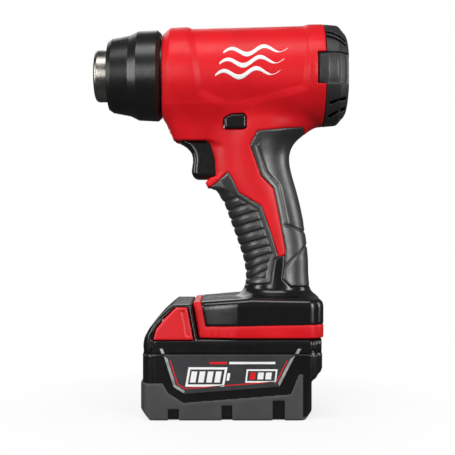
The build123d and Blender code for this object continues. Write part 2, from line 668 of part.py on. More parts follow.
def latch_button(side):
    """Red release button in the hump's side, with a hidden retaining flange."""
    y0, y1 = sorted((33.0 * side, 37.0 * side))
    face = slab(LATCH, y0, y1, 1.2)
    rim = [e for e in face.edges() if abs(abs(e.center().Y) - 37.0) < 0.01]
    face = chamfer(rim, 0.7)
    y0, y1 = sorted((31.2 * side, 33.2 * side))
    return face + slab(LATCH_FLANGE, y0, y1)


def latch_spring(side):
    """Coil spring behind a release button."""
    return coil(-30.0, 21.6 * side, 56.0, 3.0, 0.7, 1.6, 5.5, "y" if side > 0 else "-y")


def gauge_panel():
    """Dark insert at the front of the pack that carries the charge gauge."""
    panel = block(-49.2, -46.6, -14.6, 14.6, GAUGE_Z - 5.1, GAUGE_Z + 5.1)
    for y in GAUGE_LIGHTS:
        panel -= rod(-48.5, y, GAUGE_Z, 1.5, 3, "x")
    return panel - rod(-48, 9.0, GAUGE_Z, 3.2, 6, "x")


GAUGE_LIGHTS = (-10.0, -5.5, -1.0, 3.5)


def gauge_lights():
    """Four round charge lights."""
    lights = [rod(-48.2, y, GAUGE_Z, 1.45, 2.2, "x").solids()[0] for y in GAUGE_LIGHTS]
    return Compound(children=lights)


def gauge_button():
    """Button that wakes the charge gauge."""
    return rod(-48.2, 9.0, GAUGE_Z, 3.0, 3.4, "x")


def pack_screws():
    """Four screws that close the pack from below."""
    screws = []
    for x, y in PACK_SCREWS:
        screws.append((rod(x, y, 0.75, 3.0, 0.5, "z") + rod(x, y, 4.5, 1.5, 7.5, "z")).solids()[0])
    return Compound(children=screws)


def side_plates():
    """Two thin rating plates, one on each side of the pack."""
    plates = []
    for side in (-1, 1):
        y0, y1 = sorted(((CASE_HALF_WIDTH + 0.02) * side, (CASE_HALF_WIDTH + 0.45) * side))
        face = [(-35.0, 40.1), (-28.9, 20.6), (-22.2, 16.4), (37.0, 20.9), (46.7, 40.1)]
        plates.append(slab(face, y0, y1, 0.6).solids()[0])
    return Compound(children=plates)


# ---------------------------------------------------------------- write every sub-part
def main():
    os.makedirs("parts", exist_ok=True)
    (left, right), (front_grip, rear_grip, foot_cover) = housing()
    write("housing_left", left)
    write("housing_right", right)
    trim = hook_recess() + channel() + block(-60, 120, -60, 60, 40, FOOT_BOTTOM)
    for name, skin in (("front_grip", front_grip), ("rear_grip", rear_grip), ("foot_cover", foot_cover)):
        for side, word in ((-1, "left"), (1, "right")):
            piece = half(skin, side) - trim
            for x, z, seat in HOUSING_SCREWS:
                if side > 0:
                    piece -= slab_rod(x, z, 3.3, seat, 60)
            write(f"{name}_{word}", max(piece.solids(), key=lambda s: s.volume))
    write("nozzle_tube", nozzle_tube())
    write("front_shroud", front_shroud())
    write("mica_liner", ring(-70, -4, 15.0, 15.6))
    write("mica_cross", mica_cross())
    write("heating_coil", coil(-63, 0, AXIS_Z, 10.4, 1.1, 4.4, 11, "x"))
    write("heater_collar", heater_collar())
    write("thermal_cutout", thermal_cutout())
    write("air_duct", air_duct())
    write("motor_can", motor_can())
    write("motor_magnets", motor_magnets())
    write("motor_end_bell", motor_end_bell())
    write("carbon_brushes", carbon_brushes())
    write("motor_bushes", motor_bushes())
    write("motor_shaft", motor_shaft())
    write("armature", armature())
    write("fan_impeller", fan_impeller())
    write("motor_bracket", motor_bracket())
    write("motor_screws", motor_screws())
    write("intake_screen", intake_screen())
    write("rear_cap", rear_cap())
    write("cap_screws", cap_screws())
    write("trigger", trigger())
    write("trigger_switch", trigger_switch())
    write("switch_plunger", switch_plunger())
    write("trigger_spring", coil(1.8, 0, 163.5, 3.4, 0.8, 1.75, 5.3, "x"))
    write("lock_shuttle", lock_shuttle())
    write("led_lens", led_lens())
    write("led_board", led_board())
    write("control_board", control_board())
    write("heat_sink", heat_sink())
    write("terminal_block", terminal_block())
    write("contact_blades", contact_blades())
    write("housing_screws", housing_screws())
    write("hook_boss", hook_boss())
    write("hanging_loop", hanging_loop())
    write("battery_lower_case", battery_lower_case())
    write("battery_upper_case", battery_upper_case())
    write("battery_boot", battery_boot())
    write("battery_cells", battery_cells())
    write("cell_holders", cell_holders())
    write("cell_straps", cell_straps())
    write("protection_board", protection_board())
    write("pack_terminals", pack_terminals())
    write("gauge_panel", gauge_panel())
    write("gauge_lights", gauge_lights())
    write("gauge_button", gauge_button())
    write("pack_screws", pack_screws())
    write("side_plates", side_plates())
    for side, word in ((-1, "left"), (1, "right")):
        write(f"latch_button_{word}", latch_button(side))
        write(f"latch_spring_{word}", latch_spring(side))


main()
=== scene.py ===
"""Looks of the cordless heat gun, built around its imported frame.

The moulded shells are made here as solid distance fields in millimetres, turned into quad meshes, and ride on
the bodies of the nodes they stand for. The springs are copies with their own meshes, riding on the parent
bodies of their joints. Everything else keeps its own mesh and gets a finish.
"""
import functools
import json
import math

import bpy
import numpy as np
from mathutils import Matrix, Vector

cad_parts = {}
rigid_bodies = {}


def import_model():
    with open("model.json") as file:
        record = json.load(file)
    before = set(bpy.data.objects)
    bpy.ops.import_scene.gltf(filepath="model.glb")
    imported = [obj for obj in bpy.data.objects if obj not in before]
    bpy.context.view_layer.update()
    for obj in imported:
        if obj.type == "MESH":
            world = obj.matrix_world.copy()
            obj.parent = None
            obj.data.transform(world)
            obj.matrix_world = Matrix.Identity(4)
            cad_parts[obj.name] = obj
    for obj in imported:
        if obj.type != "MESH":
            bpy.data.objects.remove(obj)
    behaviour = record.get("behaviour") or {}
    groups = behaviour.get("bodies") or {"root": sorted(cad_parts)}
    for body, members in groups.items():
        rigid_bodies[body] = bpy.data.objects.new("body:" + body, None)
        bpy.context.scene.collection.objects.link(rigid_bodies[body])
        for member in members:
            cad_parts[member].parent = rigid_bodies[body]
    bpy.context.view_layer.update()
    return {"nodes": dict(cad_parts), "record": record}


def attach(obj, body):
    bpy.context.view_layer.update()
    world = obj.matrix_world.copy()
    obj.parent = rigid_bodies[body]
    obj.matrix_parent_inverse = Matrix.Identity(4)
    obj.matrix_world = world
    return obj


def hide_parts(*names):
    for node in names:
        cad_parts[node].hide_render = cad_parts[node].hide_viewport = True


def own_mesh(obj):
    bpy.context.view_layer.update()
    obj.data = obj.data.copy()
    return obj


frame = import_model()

MM = 0.001

# ---------------------------------------------------------------- driving dimensions, in millimetres
AXIS_Z = 218.0                      # barrel axis
BARREL_X = (-37.2, 66.3)            # front and rear of the red barrel
WALL = 4.2                          # moulded wall with the rib pads inside it
SKIN = 1.9                          # soft skins
BELLY_BOTTOM, BELLY_RISE = 174.8, 31.2
BELLY_FADE, BELLY_TOP = 197.0, 226.0
FOOT_Z = 50.6                       # underside of the foot
FOOT_HALF = 37.0
FOOT_X = (-40.0, 64.7)
FINGER = (-18.0, 160.3, 14.4)       # x, z and radius of the hollow for the finger
LED = (-32.9, 183.4)                # centre of the lens and the way it faces, (x, z)
LED_NORMAL = (-0.930, -0.367)
TAB_Z, TAB_HALF = 218.7, 9.7        # the cap's side tab, in a notch of the barrel
TOOL_STEP = 0.55                    # cell size of the tool's shells
PACK_STEP = 0.6
CONTROL_STEP = 0.4                  # cell size of the small moulded pieces

# barrel radius along x, on the sunken side panel and around it
PROFILE_X = [-37.2, -36.3, -32.2, -22.0, -18.8, 53.6, 56.4, 66.3]
PANEL_R = [26.6, 27.6, 31.0, 31.5, 30.4, 32.2, 33.2, 33.3]
RAISED_R = [26.6, 27.6, 31.0, 31.6, 31.7, 33.0, 33.2, 33.3]
PANEL_SLOPE = (0.6, 4.6)            # where the panel's bevel starts inside its outline, and how wide it is

# handle sections: z, front x, back x, half width
HANDLE = [(60, 10.5, 62.5, 21.5), (74, 13.0, 60.6, 19.6), (79, 15.6, 58.4, 18.0), (88, 17.2, 57.5, 17.2),
          (99, 15.4, 57.3, 17.2), (111, 11.4, 56.1, 17.5), (123, 7.0, 54.0, 17.9),
          (134.5, 3.0, 51.6, 18.3), (143, -2.5, 49.4, 18.6), (151, -7.0, 47.0, 18.8),
          (159, -8.5, 45.0, 19.2), (166, -9.2, 44.6, 19.8), (172, -9.8, 46.6, 20.6),
          (177, -10.4, 51.0, 21.3), (181, -11.0, 57.0, 21.9), (186, -11.5, 62.0, 22.4),
          (204, -12.0, 64.0, 23.2)]
SECTION_POWER = 2.15                # 2 is an ellipse, more is squarer

# side outlines (x, z)
FRONT_GRIP = [(5.2, 154.6), (-6.0, 145.0), (-16, 139), (2, 100), (2, 81), (31.8, 83.5), (32.3, 86),
              (34.7, 98.8), (37.3, 100.2), (31.9, 117.4), (26.4, 132.9), (11.9, 141.3), (7.9, 150.0)]
REAR_GRIP = [(75, 178.4), (54.2, 178.4), (53.2, 183.4), (23.7, 180.3), (18.9, 171.5), (26.0, 151.8),
             (34.0, 143.9), (36.7, 130.4), (41.5, 105.1), (41.1, 94.8), (39.9, 86.1), (45.0, 81.4),
             (75, 80.6)]
FOOT_COVER = [(-13.4, 81), (-8.9, 57.6), (75, 59.2), (75, 80.6), (45.0, 81.4), (39.9, 86.1), (41.1, 94.8),
              (41.3, 101.5), (37.3, 100.2), (34.7, 98.8), (32.3, 86), (31.8, 83.5), (2, 81)]
GUARD = [(-9.2, 147.9), (-6.6, 150.6), (2, 153), (4, 143), (-4.4, 144.4), (-8.2, 145.4)]
SIDE_PANEL = [(-20.4, 262), (-18.4, 244.6), (-14.4, 227.2), (-11.2, 204.9), (6.2, 196.6), (51.6, 207.6),
              (54.6, 228.9), (54.8, 262)]
SHUTTLE = [(2.6, 181.6), (16.3, 181.6), (16.4, 189.1), (14.7, 191.0), (7.3, 190.6), (2.5, 188.3)]
SHUTTLE_ROUND = 1.6
TRIGGER = [(-26.4, 174.0), (-24.6, 173.1), (-22.2, 171.5), (-20.0, 169.3), (-18.5, 166.8), (-17.8, 164.0),
           (-17.7, 161.5), (-18.2, 158.5), (-18.5, 156.0), (-18.4, 153.9), (-17.6, 152.1), (-16.4, 151.0),
           (-14.5, 150.4), (1.0, 150.4), (1.0, 176.2), (-26.6, 176.2)]
LATCH = [(-41.4, 49.4), (-16.4, 49.4), (-20.2, 69.8), (-27.4, 69.8), (-33.8, 63.4), (-39.6, 56.2)]

# openings of the tool, as boxes: x, y and z from and to, mirrored where y starts at 0
TRIGGER_SLOT = (-30.0, 3.2, 0, 10.9, 149.8, 176.8)
RAIL_BAY = [(-25, 62, 0, 21.4, 45, 55), (-25, 62, 0, 25.4, 54.2, 61.4)]
SCREWS = [(-20, 184.5, 11), (24, 184.0, 12), (50, 184.5, 12), (10, 145.5, 9), (26, 112, 9), (-5, 67, 28),
          (58, 67, 28)]             # x, z and how far out the head sits
SCREW_POST_R, SCREW_HEAD_R = 4.4, 3.2
LOOP_TRACK = (48.6, 8.0, 31.0, 208.0)   # middle and half width along x, floor radius, lowest z

# rear cap
CAP_X = (66.6, 81.5)                # front edge and end face
CAP_WALL = 3.3
CAP_LOUVRES = [([(67.4, 242.5), (71.6, 241.4), (79.4, 236.6)], 0.6),
               ([(67.4, 239.2), (71.8, 238.0), (79.8, 233.2)], 0.6),
               ([(69.4, 197.4), (81.0, 201.2)], 0.85),
               ([(69.4, 189.9), (81.0, 195.9)], 0.85),
               ([(69.4, 184.9), (79.0, 190.2)], 0.6)]     # side view path and half width
CAP_SLOT_ROWS = (-14, -7, 0, 7, 14)                       # heights of the end slots about the axis
CAP_SCREWS = [(20, 225), (0, 197.5)]                      # y, z

# battery pack
SEAM_Z = 40.8                       # where its two cases meet
PACK_HALF, PACK_CORNER = 36.2, 8.5  # half width and corner radius of the cases
LOWER_X = (-48.6, 64.2)
UPPER_X = (-48.8, 64.4)
HOLLOW_X = (-46.4, 62.0)
BOOT_X = (-49.7, 57.6)
LOWER_CASE = [(-48.6, 7.0), (-42.6, 1.0), (51.8, 1.0), (56.4, 5.6), (56.4, 22.6), (64.2, 31.2),
              (64.2, SEAM_Z + 8), (-48.6, SEAM_Z + 8)]
LOWER_HOLLOW = [(-46.4, 8), (-41.6, 3.2), (50.8, 3.2), (54.2, 6.6), (54.2, 23.4), (62, 32), (62, 50),
                (-46.4, 50)]
UPPER_CASE = [(-48.8, SEAM_Z - 8), (64.4, SEAM_Z - 8), (64.4, 50.2), (-13.6, 50.2), (-17.6, 71.4),
              (-28.9, 71.4), (-32.0, 68.9), (-38.2, 63.3), (-43.4, 57.2), (-47.6, 50.2), (-48.8, 46.2)]
UPPER_HOLLOW = [(-46.4, 30), (62, 30), (62, 47.8), (-15.9, 47.8), (-19.4, 69), (-28.2, 69), (-30.6, 67),
                (-36.6, 61.6), (-41.4, 56), (-45.4, 49.4), (-46.4, 46)]
BOOT = [(-49.7, 23.1), (-35.2, 23.1), (-31.8, 17.2), (-22.4, 11.2), (43.6, 16.4), (48.6, 28.8), (52.0, 29.0),
        (57.6, 29.0), (57.6, 5.2), (52.4, 0.0), (-43.2, 0.0), (-49.7, 6.6)]
BOOT_NOTCHES = [(-31.8, -25.4, 6.8), (1.2, 7.4, 9.0), (32.6, 39.8, 12.0)]      # x from and to, height
RAILS = [(-15.5, 45, 0, 20.8, 49, 54.8), (-14.0, 45, 0, 24.8, 54.7, 60.6)]
RAIL_POCKET = (-12, 25, 0, 18, 47, 58.4)
GAUGE_RECESS = (-52, -45, 0, 15.0, 25.5, 36.5)
GAUGE_WINDOW = (-52, -45, 0, 15, 23, 40)
BLADE_ROWS = (4.0, 12.0)            # y of the contact slots on each side
PLATE = [(-35.0, 40.1), (-28.9, 20.6), (-22.2, 16.4), (37.0, 20.9), (46.7, 40.1)]
PLATE_Y = PACK_HALF + 0.46          # face of the side plate
PRINT = 0.1                         # height of a printed mark

# each spring and the joint that compresses it in the tool; its copy rides on that joint's parent body
SPRINGS = {"trigger_spring": "trigger_pull", "latch_spring_left": "latch_left_press",
           "latch_spring_right": "latch_right_press"}

# studio, in metres and watts
FLOOR_GLOW = 0.06                   # how bright the far floor is in the object's gloss
ROOM_GLOW = 0.10                    # how bright the dim room is
FLOOR_HALF = 8.0
LIGHTS = [("key", (-1.1, -0.58, 0.34), (0, 0, 0.19), (0.36, 0.9), 9),
          ("side", (0.75, -1.1, 0.42), (0.03, 0, 0.17), (0.28, 0.9), 10),
          ("window", (-0.46, -1.42, 0.33), (0.0, 0, 0.1), (0.25, 0.7), 5),
          ("rim_right", (1.15, 0.0, 0.3), (0.0, 0, 0.12), (0.25, 0.9), 5),
          ("top", (-0.1, -0.6, 1.3), (0.0, 0, 0.12), (0.9, 0.5), 8),
          ("back", (-0.4, 1.2, 0.8), (0.0, 0, 0.15), (1.0, 1.0), 5)]    # place, aim, size, power
CAMERA = (0.00465, -0.62, 0.119)
VIEW_WIDTH = 0.298                  # what the picture spans in the tool's middle plane
EDGE_RADIUS = 0.0004                # how far the shading eases an edge


# ---------------------------------------------------------------- distance fields
class Grid:
    """Sample points of a box, as three arrays that broadcast to the whole grid."""

    def __init__(self, low, high, step):
        self.step = step
        self.low = np.array(low, np.float32)
        axes = [np.arange(a, b + step, step, dtype=np.float32) for a, b in zip(low, high)]
        self.x = axes[0][:, None, None]
        self.y = axes[1][None, :, None]
        self.z = axes[2][None, None, :]


def smooth_min(a, b, k):
    """Union of two fields with a blend of width k."""
    h = np.clip(0.5 + 0.5 * (b - a) / k, 0, 1)
    return b + (a - b) * h - k * h * (1 - h)


def smooth_max(a, b, k):
    """Intersection of two fields with an edge rounded over k."""
    return -smooth_min(-a, -b, k)


def smooth_step(low, high, value):
    """Eased ramp from 0 at low to 1 at high."""
    t = np.clip((value - low) / (high - low), 0, 1)
    return t * t * (3 - 2 * t)


def outline_distance(points, x, z):
    """Distance to a closed XZ outline, negative inside."""
    best = None
    inside = None
    for (ax, az), (bx, bz) in zip(points, points[1:] + points[:1]):
        ex, ez = bx - ax, bz - az
        wx, wz = x - ax, z - az
        t = np.clip((wx * ex + wz * ez) / (ex * ex + ez * ez), 0, 1)
        d = (wx - ex * t) ** 2 + (wz - ez * t) ** 2
        crosses = ((az > z) != (bz > z)) & (wx < ex * wz / (ez if ez else 1e-9))
        best = d if best is None else np.minimum(best, d)
        inside = crosses if inside is None else inside ^ crosses
    return np.where(inside, -1, 1).astype(np.float32) * np.sqrt(best)


def box_distance(u, v, half_u, half_v, radius):
    """Distance to a rounded rectangle centred on the origin."""
    qu, qv = np.abs(u) - half_u + radius, np.abs(v) - half_v + radius
    outer = np.sqrt(np.maximum(qu, 0) ** 2 + np.maximum(qv, 0) ** 2)
    return outer + np.minimum(np.maximum(qu, qv), 0) - radius


def cuboid(g, x0, x1, y0, y1, z0, z1):
    """Distance to a box that mirrors across the middle plane when y0 is 0."""
    dx = np.maximum(x0 - g.x, g.x - x1)
    dy = np.maximum(y0 - g.y, g.y - y1) if y0 > 0 else np.abs(g.y) - y1
    dz = np.maximum(z0 - g.z, g.z - z1)
    return np.maximum(np.maximum(dx, dy), dz)


def carved(field, cuts):
    """Field with each of the cuts taken out of it."""
    for cut in cuts:
        field = np.maximum(field, -cut)
    return field


def profile(at, places, values):
    """Values between the given places, in the shape of the coordinates."""
    return np.interp(at.ravel(), places, values).reshape(at.shape).astype(np.float32)


def axis_radius(g):
    """Distance from the barrel's axis."""
    return np.sqrt(g.y ** 2 + (g.z - AXIS_Z) ** 2)


def along_z(z, column):
    """Smooth value of one column of the handle table at each height."""
    reach, spread = 12, 4.0         # smoothing window and its width, in steps of half a millimetre
    fine = np.arange(50, 216, 0.5)
    rough = np.interp(fine, [row[0] for row in HANDLE], [row[column] for row in HANDLE])
    weights = np.exp(-0.5 * (np.arange(-reach, reach + 1) / spread) ** 2)
    padded = np.pad(rough, reach, mode="edge")
    smooth = np.convolve(padded, weights / weights.sum(), mode="valid")
    return profile(z, fine, smooth)


def barrel_field(g, panel):
    """Barrel with its sunken side panel."""
    start, width = PANEL_SLOPE
    sunk = profile(g.x, PROFILE_X, PANEL_R)
    raised = profile(g.x, PROFILE_X, RAISED_R)
    radius = sunk + (raised - sunk) * np.clip((panel + start) / width, 0, 1)
    body = axis_radius(g) - radius
    return np.maximum(smooth_max(body, BARREL_X[0] - g.x, 0.9), g.x - BARREL_X[1])


def belly_field(g):
    """Swelling between the barrel and the handle."""
    t = np.clip((g.z - BELLY_BOTTOM) / BELLY_RISE, -0.1, 1.0)
    ends = [(-8.0, -11.0), (22.0, 30.75), (15.5, 26.0), (7.0, 12.0)]
    centre, half_x, half_y, radius = (a + (b - a) * t for a, b in ends)
    side = box_distance(g.x - centre, g.y, half_x, half_y, radius)
    fading = smooth_max(side, BELLY_BOTTOM - g.z, 1.4) + 0.4 * np.maximum(g.z - BELLY_FADE, 0)
    return np.maximum(fading, g.z - BELLY_TOP)


def handle_field(g):
    """Handle with the hollow for the finger and the guard below the trigger."""
    front, back, half = (along_z(g.z, column) for column in (1, 2, 3))
    centre, reach = (front + back) / 2, (back - front) / 2
    u, v = g.x - centre, g.y
    shape = (np.abs(u) / reach) ** SECTION_POWER + (np.abs(v) / half) ** SECTION_POWER
    shape = np.maximum(shape ** (1 / SECTION_POWER), 0.02)
    body = np.sqrt(u * u + v * v) * (1 - 1 / shape)
    body = np.maximum(body, np.maximum(HANDLE[0][0] - g.z, g.z - HANDLE[-1][0]))
    finger = FINGER[2] - np.sqrt((g.x - FINGER[0]) ** 2 + (g.z - FINGER[1]) ** 2)
    body = smooth_max(body, finger, 1.6)
    guard = smooth_max(outline_distance(GUARD, g.x, g.z) - 0.3, np.abs(g.y) - 13.5, 2.0)
    return smooth_min(body, guard, 2.0)


def foot_field(g):
    """Foot, which narrows towards its leaning front."""
    ahead = np.maximum(11.0 - g.x, 0)
    width = np.abs(g.y) + 0.11 * ahead + 0.002 * ahead ** 2
    low, high = FOOT_X
    plan = box_distance(g.x - (low + high) / 2, width, (high - low) / 2, FOOT_HALF, 10.0)
    top = g.z - profile(g.x, [-16.8, 20, high], [72.6, 75.4, 74.6])
    front = (-13.0 - (g.z - FOOT_Z) * 0.174) - g.x
    body = smooth_max(plan, top, 5.0)
    return np.maximum(smooth_max(body, front, 1.2), FOOT_Z - g.z)


def tool_field(g):
    """Outer form of the tool, with its side panel, before it is split into pieces."""
    panel = outline_distance(SIDE_PANEL, g.x, g.z)
    body = smooth_min(barrel_field(g, panel), belly_field(g), 7.0)
    body = smooth_min(body, handle_field(g), 5.0)
    body = smooth_min(body, foot_field(g), 6.0)
    body = np.maximum(body, BARREL_X[0] - g.x)
    return body + parting(g.y)


def parting(distance):
    """Fine groove where two mouldings meet."""
    return 0.24 * np.exp(-(distance / 0.5) ** 2)


def rib_relief(g, region):
    """Height of the front grip's slanted ribs inside its raised border."""
    pitch, top = 5.6, 141.0
    slope = 0.26 + 0.30 * smooth_step(112, 84, g.z)
    phase = (g.z - slope * (g.x - along_z(g.z, 1)) - top) / pitch
    valley = np.abs(phase - np.round(phase)) * pitch
    inside = smooth_step(-3.0, -4.4, region) * smooth_step(142, 138, g.z) * smooth_step(80, 84, g.z)
    groove = 1.0 * np.exp(-(valley / 0.75) ** 2) - 0.25
    border = 0.55 * np.exp(-((region + 3.4) / 0.5) ** 2) * smooth_step(143, 139, g.z)
    return groove * inside + border


def line_distance(g, start, end):
    """Distance to a straight line of the side view."""
    ex, ez = end[0] - start[0], end[1] - start[1]
    wx, wz = g.x - start[0], g.z - start[1]
    t = np.clip((wx * ex + wz * ez) / (ex * ex + ez * ez), 0, 1)
    return np.sqrt((wx - ex * t) ** 2 + (wz - ez * t) ** 2)


def line_groove(g, start, end, width, depth):
    """Narrow groove along a straight line of the side view."""
    return depth * np.exp(-(line_distance(g, start, end) / width) ** 2)


def palm_relief(g, region):
    """Grooves of the rear grip: its border line, the hex panel and two lines round the back."""
    border = 0.5 * np.exp(-((region + 3.9) / 0.5) ** 2) * smooth_step(119.5, 122, g.z)
    border = border * smooth_step(177, 170, g.z)
    upper = line_groove(g, (41.6, 120.6), (60, 114.4), 0.65, 0.8)
    lower = line_groove(g, (60, 109.5), (54.5, 106.2), 0.65, 0.8)
    lower = np.maximum(lower, line_groove(g, (54.5, 106.2), (40.6, 93.4), 0.6, 0.7))
    lift = 0.25 * smooth_step(-3.9, -6.0, region) * smooth_step(120, 123, g.z) * smooth_step(177, 170, g.z)
    return np.maximum(np.maximum(border, upper), lower) - lift


# ---------------------------------------------------------------- from fields to meshes
EDGES = [(0, 1), (2, 3), (4, 5), (6, 7), (0, 2), (1, 3), (4, 6), (5, 7), (0, 4), (1, 5), (2, 6), (3, 7)]
CORNERS = [((c >> 2) & 1, (c >> 1) & 1, c & 1) for c in range(8)]


def surface(field, grid):
    """Vertices and quads of the surface where field is zero."""
    inside = field < 0
    nx, ny, nz = (n - 1 for n in field.shape)
    count = np.zeros((nx, ny, nz), np.int8)
    for i, j, k in CORNERS:
        count += inside[i:i + nx, j:j + ny, k:k + nz]
    cells = np.argwhere((count > 0) & (count < 8))
    number = np.full((nx, ny, nz), -1, np.int32)
    number[tuple(cells.T)] = np.arange(len(cells))
    values = [field[cells[:, 0] + i, cells[:, 1] + j, cells[:, 2] + k] for i, j, k in CORNERS]
    total = np.zeros((len(cells), 3), np.float32)
    hits = np.zeros(len(cells), np.float32)
    for a, b in EDGES:
        va, vb = values[a], values[b]
        cross = (va < 0) != (vb < 0)
        t = np.where(cross, va / np.where(cross, va - vb, 1), 0)
        pa, pb = np.array(CORNERS[a], np.float32), np.array(CORNERS[b], np.float32)
        total += (pa + t[:, None] * (pb - pa)) * cross[:, None]
        hits += cross
    points = grid.low + grid.step * (cells + total / hits[:, None])
    quads = []
    for axis in range(3):
        first, second = (axis + 1) % 3, (axis + 2) % 3
        near = np.take(inside, range(field.shape[axis] - 1), axis)
        far = np.take(inside, range(1, field.shape[axis]), axis)
        edges = np.argwhere(near != far)
        keep = (edges[:, first] > 0) & (edges[:, second] > 0)
        keep &= (edges[:, first] < field.shape[first] - 1) & (edges[:, second] < field.shape[second] - 1)
        edges = edges[keep]
        leaving = near[tuple(edges.T)]
        ring = []
        for da, db in ((-1, -1), (0, -1), (0, 0), (-1, 0)):
            cell = edges.copy()
            cell[:, first] += da
            cell[:, second] += db
            ring.append(number[tuple(cell.T)])
        quad = np.stack(ring, 1)
        quad[~leaving] = quad[~leaving][:, ::-1]
        quads.append(quad)
    return points, np.concatenate(quads)


def mesh_object(name, points, quads, material, mirror=False):
    """Smooth-shaded object from points in millimetres."""
    points = np.array(points, np.float32) * MM
    quads = np.array(quads, np.int32)
    if mirror:
        points[:, 1] *= -1
        quads = quads[:, ::-1]
    mesh = bpy.data.meshes.new(name)
    mesh.vertices.add(len(points))
    mesh.vertices.foreach_set("co", points.ravel())
    mesh.loops.add(quads.size)
    mesh.loops.foreach_set("vertex_index", quads.ravel())
    mesh.polygons.add(len(quads))
    mesh.polygons.foreach_set("loop_start", np.arange(0, quads.size, 4, dtype=np.int32))
    mesh.polygons.foreach_set("use_smooth", np.ones(len(quads), bool))
    mesh.update(calc_edges=True)
    mesh.validate()
    mesh.materials.append(material)
    obj = bpy.data.objects.new(name, mesh)
    bpy.context.scene.collection.objects.link(obj)
    return obj


def moulded(name, field, grid, material, body, node, mirror=False, keep=1.0):
    """Shell made from a field, riding on a body in place of a node."""
    points, quads = surface(field, grid)
    obj = mesh_object(name, points, quads, material, mirror)
    if keep < 1:
        thin = obj.modifiers.new("thin", "DECIMATE")
        thin.ratio = keep
    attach(obj, body)
    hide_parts(node)


# ---------------------------------------------------------------- materials
def new_material(name):
    """Empty node material, its tree and its main shader."""
    material = bpy.data.materials.new(name)
    material.use_nodes = True
    tree = material.node_tree
    return material, tree, tree.nodes["Principled BSDF"]


def noise(tree, scale, detail=3.0, rough=0.55, stretch=None):
    """Noise over the object's own coordinates, per metre."""
    place = tree.nodes.new("ShaderNodeTexCoord")
    texture = tree.nodes.new("ShaderNodeTexNoise")
    texture.inputs["Scale"].default_value = scale
    texture.inputs["Detail"].default_value = detail
    texture.inputs["Roughness"].default_value = rough
    source = place.outputs["Object"]
    if stretch:
        mapping = tree.nodes.new("ShaderNodeMapping")
        mapping.inputs["Scale"].default_value = stretch
        tree.links.new(source, mapping.inputs["Vector"])
        source = mapping.outputs["Vector"]
    tree.links.new(source, texture.inputs["Vector"])
    return texture.outputs["Fac"]


def remap(tree, source, low, high, start=0.3, end=0.7):
    """Value that runs from low to high while source runs from start to end."""
    node = tree.nodes.new("ShaderNodeMapRange")
    node.inputs["From Min"].default_value = start
    node.inputs["From Max"].default_value = end
    node.inputs["To Min"].default_value = low
    node.inputs["To Max"].default_value = high
    tree.links.new(source, node.inputs["Value"])
    return node.outputs["Result"]


def tint(tree, source, dark, light):
    """Colour between dark and light."""
    ramp = tree.nodes.new("ShaderNodeValToRGB")
    ramp.color_ramp.elements[0].position = 0.35
    ramp.color_ramp.elements[0].color = (*dark, 1)
    ramp.color_ramp.elements[1].position = 0.65
    ramp.color_ramp.elements[1].color = (*light, 1)
    tree.links.new(source, ramp.inputs["Fac"])
    return ramp.outputs["Color"]


def bump(tree, shader, source, strength, distance, eased=True):
    """Fine relief, over edges that are eased by a fraction of a millimetre."""
    node = tree.nodes.new("ShaderNodeBump")
    if eased:
        edge = tree.nodes.new("ShaderNodeBevel")
        edge.samples = 4
        edge.inputs["Radius"].default_value = EDGE_RADIUS
        tree.links.new(edge.outputs["Normal"], node.inputs["Normal"])
    node.inputs["Strength"].default_value = strength
    node.inputs["Distance"].default_value = distance
    tree.links.new(source, node.inputs["Height"])
    tree.links.new(node.outputs["Normal"], shader.inputs["Normal"])


def plastic(name, colour, rough, grain=1400, depth=0.00004, spread=0.12, specular=0.5, eased=True):
    """Moulded plastic: faint colour drift, handling marks in the gloss and a fine spark-eroded grain."""
    material, tree, shader = new_material(name)
    drift = noise(tree, 45, 4)
    dark = [c * (1 - spread) for c in colour]
    light = [min(1, c * (1 + spread)) for c in colour]
    tree.links.new(tint(tree, drift, dark, light), shader.inputs["Base Color"])
    marks = noise(tree, 160, 6, 0.7)
    tree.links.new(remap(tree, marks, rough * 0.82, rough * 1.2), shader.inputs["Roughness"])
    bump(tree, shader, noise(tree, grain, 2), 0.35, depth, eased)
    shader.inputs["Specular IOR Level"].default_value = specular
    return material


def metal(name, colour, rough, stretch=None, depth=0.00001, spread=0.1, eased=True):
    """Bare metal with drawn or tumbled marks."""
    material, tree, shader = new_material(name)
    shader.inputs["Metallic"].default_value = 1.0
    marks = noise(tree, 240, 6, 0.7, stretch)
    dark = [c * (1 - spread) for c in colour]
    light = [min(1, c * (1 + spread)) for c in colour]
    tree.links.new(tint(tree, noise(tree, 70, 3), dark, light), shader.inputs["Base Color"])
    tree.links.new(remap(tree, marks, rough * 0.7, rough * 1.4), shader.inputs["Roughness"])
    bump(tree, shader, marks, 0.4, depth, eased)
    return material


def glass(name, colour):
    """Clear moulded lens with a faint orange-peel surface."""
    material, tree, shader = new_material(name)
    shader.inputs["Base Color"].default_value = (*colour, 1)
    shader.inputs["Transmission Weight"].default_value = 0.6
    shader.inputs["IOR"].default_value = 1.49
    tree.links.new(remap(tree, noise(tree, 600, 2), 0.04, 0.12), shader.inputs["Roughness"])
    bump(tree, shader, noise(tree, 900, 1), 0.2, 0.00002)
    return material


